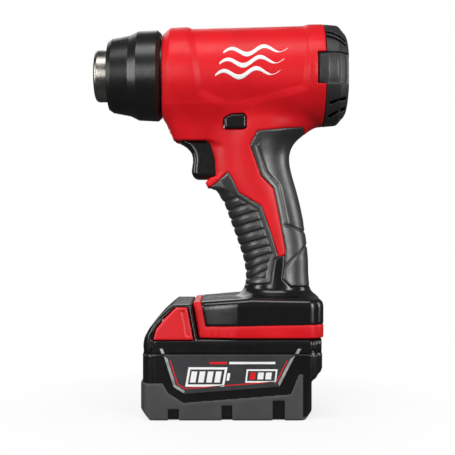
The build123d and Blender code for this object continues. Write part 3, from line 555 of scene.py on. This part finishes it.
RED = (0.66, 0.008, 0.014)
LOOKS = {
    "red_plastic": plastic("red_plastic", RED, 0.38, depth=0.00002, spread=0.06, specular=0.25),
    "black_plastic": plastic("black_plastic", (0.007, 0.0065, 0.0065), 0.19, depth=0.000006),
    "shroud_plastic": plastic("shroud_plastic", (0.008, 0.008, 0.0085), 0.3, depth=0.00002),
    "cap_plastic": plastic("cap_plastic", (0.022, 0.022, 0.024), 0.38, depth=0.00004),
    "soft_grip": plastic("soft_grip", (0.022, 0.021, 0.0205), 0.36, grain=2400, depth=0.00004, specular=1.0),
    "steel_tube": metal("steel_tube", (0.33, 0.31, 0.28), 0.28, None, 0.000001, 0.05),
    "steel": metal("steel", (0.55, 0.55, 0.56), 0.3, None, 0.00002),
    "mica": plastic("mica", (0.42, 0.34, 0.22), 0.6, 700, 0.0001, 0.3),
    "coil_wire": metal("coil_wire", (0.3, 0.26, 0.24), 0.5),
    "ceramic": plastic("ceramic", (0.75, 0.72, 0.66), 0.7, 900, 0.00008),
    "iron": metal("iron", (0.18, 0.18, 0.19), 0.5),
    "bronze": metal("bronze", (0.78, 0.55, 0.28), 0.32),
    "white_plastic": plastic("white_plastic", (0.6, 0.6, 0.57), 0.45),
    "clear_lens": glass("clear_lens", (0.9, 0.92, 0.95)),
    "circuit_board": plastic("circuit_board", (0.02, 0.16, 0.07), 0.3, 300, 0.00005, 0.3),
    "aluminium": metal("aluminium", (0.8, 0.8, 0.82), 0.4, (1, 12, 12)),
    "boot_rubber": plastic("boot_rubber", (0.052, 0.05, 0.05), 0.5, grain=2000, depth=0.00007, specular=0.4),
    "latch_red": plastic("latch_red", RED, 0.33, depth=0.00002, spread=0.06),
    "cell_sleeve": plastic("cell_sleeve", (0.03, 0.28, 0.2), 0.35),
    "nickel": metal("nickel", (0.75, 0.72, 0.66), 0.3),
    "light_bar": plastic("light_bar", (0.45, 0.02, 0.02), 0.15, depth=0.00001),
    "button_rubber": plastic("button_rubber", (0.12, 0.12, 0.13), 0.6),
    "plate": plastic("plate", (0.028, 0.029, 0.031), 0.38, grain=3000, depth=0.00002),
}
PRINT_WHITE = plastic("print_white", (0.86, 0.86, 0.85), 0.4, grain=2600, depth=0.00001, spread=0.03,
                      eased=False)
PRINT_SILVER = metal("print_silver", (0.7, 0.7, 0.7), 0.35, eased=False)
# near-black finish of the intake screen: painted shade, so the cap's slots read as dark as the shade inside
# them
PAINTED_SHADE_SCREEN = metal("painted_shade_screen", (0.02, 0.02, 0.02), 0.6)
PRINT_RED = plastic("print_red", RED, 0.35, grain=2600, depth=0.00001, eased=False)

SLOTS = {part["node"]: part["material_slot"] for part in frame["record"]["subparts"]}


def dress_nodes():
    """The finish of every CAD node, by its slot; the intake screen instead gets a near-black finish, painted
    shade behind the cap's slots.
    """
    for node, slot in SLOTS.items():
        materials = frame["nodes"][node].data.materials
        # the intake screen is painted near-black, painted shade behind the cap's slots
        look = PAINTED_SHADE_SCREEN if node == "intake_screen" else LOOKS[slot]
        for index in range(len(materials)):
            materials[index] = look
        if not materials:
            materials.append(look)


# ---------------------------------------------------------------- the tool's shells
def lens_bore(g):
    """Round seat of the lens, square to the nose's slope."""
    u, w = g.x - LED[0], g.z - LED[1]
    along = u * LED_NORMAL[0] + w * LED_NORMAL[1]
    away = np.sqrt(np.maximum(u ** 2 + w ** 2 + g.y ** 2 - along ** 2, 0))
    return np.maximum(away - 3.05, -(along + 7))


def screw_fields(g):
    """Posts of all the housing screws, and the holes down to their heads."""
    posts, holes = [], []
    for x, z, seat in SCREWS:
        away = np.sqrt((g.x - x) ** 2 + (g.z - z) ** 2)
        posts.append(np.maximum(away - SCREW_POST_R, seat - 2 - g.y))
        holes.append(np.maximum(away - SCREW_HEAD_R, seat - g.y))
    return functools.reduce(np.minimum, posts), functools.reduce(np.minimum, holes)


def loop_track(g):
    """Shallow track on the right side that the hanging loop folds into."""
    middle, half, floor, lowest = LOOP_TRACK
    return np.maximum(np.maximum(floor - axis_radius(g), np.abs(g.x - middle) - half),
                      np.maximum(5.5 - g.y, lowest - g.z))


def shell_cuts(g):
    """Openings of the red shells that both sides have, the rail bay first."""
    tab = np.maximum(np.maximum(60.9 - g.x, np.abs(g.z - TAB_Z) - (TAB_HALF + 0.3)), 26.0 - g.y)
    return [np.minimum(*(cuboid(g, *box) for box in RAIL_BAY)),
            cuboid(g, *TRIGGER_SLOT),
            np.maximum(shuttle_outline(g) - 0.4, 5 - g.y),
            lens_bore(g),
            np.maximum(axis_radius(g) - 24.8, g.x + 30),
            tab]


def build_tool():
    """Red shells and their over-moulded skins, a left and a right one each."""
    g = Grid((-38.6, -1.4, 49.4), (67.6, 38.6, 252.6), TOOL_STEP)
    tool = tool_field(g)
    outlines = {"front_grip": FRONT_GRIP, "rear_grip": REAR_GRIP, "foot_cover": FOOT_COVER}
    regions = {name: outline_distance(outline, g.x, g.z) for name, outline in outlines.items()}
    relief = {"front_grip": rib_relief(g, regions["front_grip"]),
              "rear_grip": palm_relief(g, regions["rear_grip"]),
              "foot_cover": 0.0}
    core = tool
    for region in regions.values():
        core = np.maximum(core + parting(region), -np.maximum(region, -(tool + SKIN)))
    shell = np.maximum(core, -np.maximum(tool + WALL, 64 - g.z))
    cuts = shell_cuts(g)
    posts, holes = screw_fields(g)
    right_cuts = [holes, loop_track(g)]
    for side, mirror in (("left", True), ("right", False)):
        red, extra = shell, []
        if side == "right":
            red, extra = np.minimum(shell, np.maximum(posts, core)), right_cuts
        red = np.maximum(carved(red, cuts + extra), -g.y)
        moulded(f"red_shell_{side}", red, g, LOOKS["red_plastic"], "housing", f"housing_{side}",
                mirror, 0.5)
        for name, region in regions.items():
            skin = np.maximum(np.maximum(tool + relief[name] + parting(region), region), -(tool + SKIN))
            skin = np.maximum(carved(skin, cuts[:1] + extra), -g.y)
            slot = "black_plastic" if name == "foot_cover" else "soft_grip"
            moulded(f"{name}_skin_{side}", skin, g, LOOKS[slot], "housing", f"{name}_{side}",
                    mirror, 0.6)


def shuttle_outline(g):
    """Rounded outline of the lock bar."""
    return outline_distance(inset(SHUTTLE, SHUTTLE_ROUND), g.x, g.z) - SHUTTLE_ROUND


def build_controls():
    """Trigger and lock shuttle with their finger-friendly rounding."""
    g = Grid((-28.2, -11.8, 149.2), (2.4, 11.8, 177.6), CONTROL_STEP)
    body = smooth_max(outline_distance(TRIGGER, g.x, g.z), np.abs(g.y) - 10.4, 4.0)
    pocket = np.maximum(np.sqrt(g.y ** 2 + (g.z - 163.5) ** 2) - 2.3, -2.2 - g.x)
    moulded("trigger_lever", np.maximum(body, -pocket), g, LOOKS["black_plastic"], "trigger", "trigger")
    g = Grid((1.2, -24.0, 180.2), (17.8, 24.0, 192.4), CONTROL_STEP)
    body = smooth_max(shuttle_outline(g), np.abs(g.y) - 22.7, 1.6)
    moulded("lock_bar", body, g, LOOKS["black_plastic"], "lock_shuttle", "lock_shuttle")


def cap_body(g, y, r):
    """Domed ring with a recessed panel and a tab on each side."""
    front, rear = CAP_X
    side = r - 33.2 + 0.088 * (g.x - 66.5)
    slant = (6.8 * (g.x - 75.6) + 5.9 * (r - 32.4)) / 9.0
    outer = smooth_max(smooth_max(side, slant, 1.0), g.x - rear, 1.6)
    panel = np.abs(g.z - TAB_Z) - TAB_HALF
    sunk = 1.7 * smooth_step(0.3, -0.3, panel) * smooth_step(21.2, 23.2, y)
    cap = np.maximum(np.maximum(outer + sunk, -(outer + CAP_WALL)), front - g.x)
    tab = np.maximum(np.maximum(61.1 - g.x, g.x - 68), np.maximum(panel, 28.2 - r))
    return np.minimum(cap, np.maximum(tab, smooth_max(r - 31.5, 61.1 - g.x, 2.4)))


def build_cap():
    """Rear cap with louvres in its sides, slots in its end and holes for its screws."""
    g = Grid((59.6, -35.0, 183.2), (83.2, 35.0, 252.8), CONTROL_STEP)
    y, z = np.abs(g.y), g.z - AXIS_Z
    cap = cap_body(g, y, axis_radius(g))
    for path, half in CAP_LOUVRES:
        for start, end in zip(path, path[1:]):
            slot = np.maximum(line_distance(g, start, end) - half, np.maximum(4.0 - y, g.x - 79.4))
            cap = smooth_max(cap, -slot, 0.3)
    for row in CAP_SLOT_ROWS:
        slot = np.maximum(box_distance(g.y, z - row, 17.5, 1.2, 1.1), 76 - g.x)
        cap = smooth_max(cap, -slot, 0.4)
    for sy, sz in CAP_SCREWS:
        cap = np.maximum(cap, 1.35 - np.sqrt((y - sy) ** 2 + (g.z - sz) ** 2))
    moulded("cap_shell", cap, g, LOOKS["cap_plastic"], "housing", "rear_cap", False, 0.5)


def build_latches():
    """Release buttons: bevelled rim round a slightly dished thumb face."""
    g = Grid((-43.0, 32.0, 48.0), (-15.0, 38.2, 71.4), CONTROL_STEP)
    edge = outline_distance(LATCH, g.x, g.z) + 0.1
    ridge = g.x + 18.3 + 0.186 * (g.z - 59.6)
    dish = 0.55 * smooth_step(-1.7, -2.5, edge) * smooth_step(-4.6, -3.6, ridge)
    face = smooth_max(edge, g.y - 37.0 + dish, 1.2)
    for side, mirror in (("left", True), ("right", False)):
        moulded(f"latch_{side}_face", np.maximum(face, 33.0 - g.y), g, LOOKS["latch_red"], f"latch_{side}",
                f"latch_button_{side}", mirror)


# ---------------------------------------------------------------- the battery pack
def case_field(g, side, ends, half, corner, round_off):
    """Moulding with the given side outline and a rounded rectangle as its plan."""
    outline = outline_distance(side, g.x, g.z)
    plan = box_distance(g.x - (ends[0] + ends[1]) / 2, g.y, (ends[1] - ends[0]) / 2, half, corner)
    return smooth_max(outline, plan, round_off)


def corner_flutes(g, ends, low, high):
    """Upright flutes moulded into the rounded corners of the case."""
    depth, count = 0.4, 3
    u = np.abs(g.x - (ends[0] + ends[1]) / 2) - (ends[1] - ends[0]) / 2 + PACK_CORNER
    v = np.abs(g.y) - PACK_HALF + PACK_CORNER
    turn = np.arctan2(np.maximum(v, 0), np.maximum(u, 1e-3)) / (math.pi / 2)
    zone = smooth_step(0, 1.2, u) * smooth_step(low, low + 1.5, g.z) * smooth_step(high, high - 4.0, g.z)
    return depth * zone * smooth_step(0.2, 0.8, 0.5 - 0.5 * np.cos(turn * 2 * math.pi * count))


def seam_lip(g):
    """Lip inside the lower case's wall that the upper case sits over."""
    plan = box_distance(g.x - 7.8, g.y, 56.5, PACK_HALF, PACK_CORNER)
    return np.maximum(np.maximum(plan + 0.9, -(plan + 2.2)), np.abs(g.z - SEAM_Z) - 2.4)


def upper_case_field(g, lip):
    """Upper case with its hump, the rails, the contact slots and the latch windows."""
    case = case_field(g, UPPER_CASE, UPPER_X, PACK_HALF, PACK_CORNER, 3.2)
    case = np.maximum(case + corner_flutes(g, UPPER_X, 30, 55), SEAM_Z + 0.1 - g.z)
    case = carved(case, [case_field(g, UPPER_HOLLOW, HOLLOW_X, 33.8, 6.3, 0.5), lip - 0.05])
    case = np.minimum(case, np.minimum(*(cuboid(g, *box) for box in RAILS)))
    slots = [cuboid(g, 28, 46, row - 1.2, row + 1.2, 54.6, 62) for row in BLADE_ROWS]
    window = np.maximum(outline_distance(LATCH, g.x, g.z) - 0.3, 25 - g.y)
    return carved(case, [cuboid(g, *RAIL_POCKET)] + slots + [window])


def boot_field(g, lower):
    """Bumper boot round the lower case, with notches along its bottom edge."""
    boot = case_field(g, BOOT, BOOT_X, 37.7, 10.0, 1.3)
    boot = carved(boot, [lower - 0.05, cuboid(g, *GAUGE_WINDOW)])
    for x0, x1, top in BOOT_NOTCHES:
        notch = np.maximum(np.maximum(x0 - g.x, g.x - x1), np.maximum(35.0 - g.y, g.z - top))
        boot = smooth_max(boot, -notch, 0.6)
    return boot


def pack_fields():
    """Fields of the pack's three mouldings on their right half."""
    g = Grid((-51.0, -1.4, -1.2), (66.0, 39.2, 73.2), PACK_STEP)
    lower = np.maximum(case_field(g, LOWER_CASE, LOWER_X, PACK_HALF, PACK_CORNER, 1.2), g.z - SEAM_Z + 0.1)
    hollow = case_field(g, LOWER_HOLLOW, HOLLOW_X, 34.0, 6.3, 0.5)
    lip = seam_lip(g)
    lower_case = carved(lower + corner_flutes(g, LOWER_X, 19, 60), [hollow, cuboid(g, *GAUGE_RECESS)])
    return g, {"battery_lower_case": np.minimum(lower_case, lip),
               "battery_upper_case": upper_case_field(g, lip),
               "battery_boot": boot_field(g, lower)}


def build_pack():
    """The pack's mouldings, each mirrored into one whole shell."""
    half, fields = pack_fields()
    g = Grid((-51.0, -39.2, -1.2), (66.0, 39.2, 73.2), PACK_STEP)
    source = np.clip((np.abs(g.y.ravel()) - half.low[1]) / PACK_STEP, 0, half.y.size - 1.001)
    lower = source.astype(int)
    share = (source - lower).astype(np.float32)[None, :, None]
    for name, field in fields.items():
        wide = field[:, lower, :] * (1 - share) + field[:, lower + 1, :] * share
        slot = "boot_rubber" if name == "battery_boot" else "black_plastic"
        moulded(f"{name}_shell", wide, g, LOOKS[slot], "battery", name, False, 0.5)


# ---------------------------------------------------------------- springs
def build_springs():
    """Copies of the trigger's and the latches' springs, each with its own mesh, riding on its joint's parent
    body.
    """
    joints = {joint["name"]: joint for joint in frame["record"]["behaviour"]["joints"]}
    for node, joint in SPRINGS.items():
        body = joints[joint]["parent"]
        spring = bpy.data.objects.new(node + "_coil", frame["nodes"][node].data.copy())
        bpy.context.scene.collection.objects.link(spring)
        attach(spring, body)
        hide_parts(node)
        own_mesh(spring)


# ---------------------------------------------------------------- printed marks
def inset(points, amount):
    """Outline moved inwards by amount, for outlines that turn clockwise seen from the left."""
    moved = []
    for i, p in enumerate(points):
        before, after = points[i - 1], points[(i + 1) % len(points)]
        normals = []
        for a, b in ((before, p), (p, after)):
            dx, dz = b[0] - a[0], b[1] - a[1]
            length = math.hypot(dx, dz)
            normals.append((-dz / length, dx / length))
        nx, nz = normals[0][0] + normals[1][0], normals[0][1] + normals[1][1]
        scale = amount / (1 + normals[0][0] * normals[1][0] + normals[0][1] * normals[1][1])
        moved.append((p[0] + nx * scale, p[1] + nz * scale))
    return moved


def solid_strip(name, outer, inner, y, thick, material, body, slot, closed=False):
    """Raised strip between two matching lines of the side view, on the face at y."""
    out = math.copysign(thick, y)
    points = []
    for (ax, az), (bx, bz) in zip(outer, inner):
        points += [(ax, y, az), (bx, y, bz), (bx, y + out, bz), (ax, y + out, az)]
    count = len(outer)
    quads = []
    for i in range(count if closed else count - 1):
        a, b = 4 * i, 4 * ((i + 1) % count)
        quads += [(a + k, a + (k + 1) % 4, b + (k + 1) % 4, b + k) for k in range(4)]
    if not closed:
        quads += [(3, 2, 1, 0), tuple(4 * (count - 1) + k for k in range(4))]
    obj = mesh_object(name, points, quads, material)
    obj.data.polygons.foreach_set("use_smooth", np.zeros(len(quads), bool))
    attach(obj, body)


def plate_bar(name, x0, x1, z0, z1, material, side, lean=0.0):
    """Printed bar on the pack's side plate, leaning like italic type."""
    shift = lean * (z1 - z0)
    low, high = [(x0, z0), (x1, z0)], [(x0 + shift, z1), (x1 + shift, z1)]
    solid_strip(name, low, high, PLATE_Y * side, PRINT, material, "battery", "plate")


def plate_frame(name, x0, x1, z0, z1, width, material, side, lean=0.0):
    """Printed rectangular outline on the side plate."""
    rings = []
    for edge in (0, width):
        left, right, low, high = x0 + edge, x1 - edge, z0 + edge, z1 - edge
        ring = [(left, low), (left, high), (right, high), (right, low)]
        rings.append([(x + lean * (z - z0), z) for x, z in ring])
    solid_strip(name, *rings, PLATE_Y * side, PRINT, material, "battery", "plate", closed=True)


def plate_art(side, word):
    """Plain battery pictogram, badge and accent bars in place of lettering."""
    plate_frame(f"cell_icon_{word}", -21.5, 2.5, 20.9, 32.9, 1.4, PRINT_WHITE, side, 0.18)
    plate_bar(f"cell_icon_tip_{word}", 3.9, 5.6, 24.6, 29.2, PRINT_WHITE, side, 0.18)
    for i in range(4):
        x = -18.6 + 5.0 * i
        plate_bar(f"cell_icon_bar_{i}_{word}", x, x + 3.5, 23.5, 30.3, PRINT_WHITE, side, 0.18)
    plate_frame(f"badge_{word}", 15.5, 34.5, 23.4, 31.6, 1.0, PRINT_WHITE, side, 0.12)
    for i, material in enumerate((PRINT_RED, PRINT_WHITE, PRINT_WHITE)):
        x = 18.1 + 4.9 * i
        plate_bar(f"badge_bar_{i}_{word}", x, x + 3.6, 25.4, 29.6, material, side, 0.12)
    plate_bar(f"accent_red_{word}", -6.5, 4.2, 34.8, 36.2, PRINT_RED, side, 0.18)
    plate_bar(f"accent_white_{word}", 5.6, 34.0, 34.8, 36.2, PRINT_WHITE, side, 0.18)


def wave_points(x0, z0, side, steps, lanes):
    """Two layers of points along one wave, the first proud of the panel and the second sunk into it."""
    length, rise, swing, half, thin = 40.5, 3.0, 2.3, 1.5, 0.12
    points = []
    for layer in (0.10, -0.5):
        for i in range(steps + 1):
            t = i / steps
            x = x0 + length * t
            z = z0 + rise * t + swing * math.sin(t * 4 * math.pi)
            body = max(0.0, math.sin(math.pi * min(1, t * 1.15 + 0.02))) ** 0.45
            reach = half * (thin + (1 - thin) * body)
            radius = np.interp(x, PROFILE_X, PANEL_R) + layer
            for lane in range(lanes):
                height = z + reach * (2 * lane / (lanes - 1) - 1)
                points.append((x, side * math.sqrt(radius ** 2 - (height - AXIS_Z) ** 2), height))
    return points


def wave_quads(steps, lanes):
    """Faces of both layers of a wave and of the rim between them."""
    below = (steps + 1) * lanes
    quads = []
    for i in range(steps):
        for lane in range(lanes - 1):
            a = i * lanes + lane
            quad = (a, a + lanes, a + lanes + 1, a + 1)
            quads += [quad, tuple(below + v for v in reversed(quad))]
    rim = [i * lanes for i in range(steps + 1)] + [steps * lanes + lane for lane in range(1, lanes)]
    rim += [i * lanes + lanes - 1 for i in range(steps - 1, -1, -1)] + list(range(lanes - 2, 0, -1))
    quads += [(a, below + a, below + b, b) for a, b in zip(rim, rim[1:] + rim[:1])]
    return quads


def hot_air_mark(side, word):
    """Three rising hot-air waves printed on the barrel's side panel."""
    steps, lanes = 60, 5
    for row in range(3):
        points = wave_points(2.0 - 2.5 * row, 228.2 - 7.2 * row, side, steps, lanes)
        obj = mesh_object(f"hot_air_wave_{row}_{word}", points, wave_quads(steps, lanes), PRINT_WHITE)
        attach(obj, "housing")


def plate_edges(side, word):
    """Silver strips down the plate's slanted ends, their tips above the seam and the red line inside."""
    y = PLATE_Y * side
    ring = inset(PLATE, 0.4)
    edge = inset(PLATE, 2.0)
    solid_strip(f"plate_edge_front_{word}", ring[:3], edge[:3], y, 0.12, PRINT_SILVER, "battery", "plate")
    solid_strip(f"plate_edge_rear_{word}", ring[3:5], edge[3:5], y, 0.12, PRINT_SILVER, "battery", "plate")
    low, high = SEAM_Z + 0.3, 44.2
    for end, x, lean, wide in (("front", -35.9, -0.375, 1.7), ("rear", 46.4, 0.56, 2.0)):
        rise = lean * (high - low)
        solid_strip(f"strip_end_{end}_{word}", [(x, low), (x + rise, high)],
                    [(x + wide, low), (x + rise + wide, high)], (PACK_HALF - 0.1) * side, 0.25, PRINT_SILVER,
                    "battery", "plate")
    solid_strip(f"plate_line_{word}", inset(PLATE, 2.9), inset(PLATE, 3.5), y, PRINT, PRINT_RED,
                "battery", "plate")


def build_marks():
    """All printed marks, on both sides."""
    for side, word in ((-1, "left"), (1, "right")):
        plate_edges(side, word)
        plate_art(side, word)
        hot_air_mark(side, word)


dress_nodes()
build_tool()
build_controls()
build_cap()
build_latches()
build_pack()
build_springs()
build_marks()


# ---------------------------------------------------------------- floor, light, camera
def shown_white(tree, seen, lit):
    """White emission that the lens sees at full strength and the object's gloss sees dimmed."""
    path = tree.nodes.new("ShaderNodeLightPath")
    emission = tree.nodes.new("ShaderNodeEmission")
    strength = remap(tree, path.outputs["Is Camera Ray"], lit, seen, 0, 1)
    tree.links.new(strength, emission.inputs["Strength"])
    return emission.outputs["Emission"]


def stage():
    """Pale floor that fades into the white of the studio."""
    mesh = bpy.data.meshes.new("floor")
    corners = [(x * FLOOR_HALF, y * FLOOR_HALF, 0) for x, y in ((-1, -1), (1, -1), (1, 1), (-1, 1))]
    mesh.from_pydata(corners, [], [(0, 1, 2, 3)])
    floor = bpy.data.objects.new("floor", mesh)
    bpy.context.scene.collection.objects.link(floor)
    material, tree, shader = new_material("floor")
    path = tree.nodes.new("ShaderNodeLightPath")
    tree.links.new(remap(tree, path.outputs["Is Camera Ray"], 0.4, 0.92, 0, 1), shader.inputs["Base Color"])
    tree.links.new(remap(tree, noise(tree, 8, 2), 0.75, 0.9), shader.inputs["Roughness"])
    place = tree.nodes.new("ShaderNodeTexCoord")
    length = tree.nodes.new("ShaderNodeVectorMath")
    length.operation = "LENGTH"
    tree.links.new(place.outputs["Object"], length.inputs[0])
    mix = tree.nodes.new("ShaderNodeMixShader")
    tree.links.new(remap(tree, length.outputs["Value"], 0.8, 1.0, 0.06, 0.18), mix.inputs["Fac"])
    tree.links.new(shader.outputs["BSDF"], mix.inputs[1])
    tree.links.new(shown_white(tree, 1.0, FLOOR_GLOW), mix.inputs[2])
    tree.links.new(mix.outputs["Shader"], tree.nodes["Material Output"].inputs["Surface"])
    mesh.materials.append(material)


def area_light(name, place, aim, size, power):
    """Soft box at a place, turned to its aim."""
    data = bpy.data.lights.new(name, "AREA")
    data.shape = "RECTANGLE"
    data.size, data.size_y = size
    data.energy = power
    light = bpy.data.objects.new(name, data)
    light.location = place
    light.rotation_euler = (Vector(aim) - Vector(place)).to_track_quat("-Z", "Y").to_euler()
    bpy.context.scene.collection.objects.link(light)


def set_light():
    """Dim room that the lens sees as white, and the soft boxes."""
    world = bpy.data.worlds.new("studio")
    world.use_nodes = True
    tree = world.node_tree
    background = tree.nodes["Background"]
    background.inputs["Color"].default_value = (1, 1, 1, 1)
    path = tree.nodes.new("ShaderNodeLightPath")
    strength = remap(tree, path.outputs["Is Camera Ray"], ROOM_GLOW, 1.0, 0, 1)
    tree.links.new(strength, background.inputs["Strength"])
    bpy.context.scene.world = world
    for light in LIGHTS:
        area_light(*light)


def set_camera():
    """Level camera in front of the tool's left side, as far as its perspective shows."""
    data = bpy.data.cameras.new("camera")
    data.sensor_width = 36.0
    data.lens = data.sensor_width * -CAMERA[1] / VIEW_WIDTH
    camera = bpy.data.objects.new("camera", data)
    camera.location = CAMERA
    camera.rotation_euler = (math.radians(90), 0, 0)
    bpy.context.scene.collection.objects.link(camera)
    bpy.context.scene.camera = camera


stage()
set_light()
set_camera()
bpy.context.scene.view_settings.view_transform = "Standard"
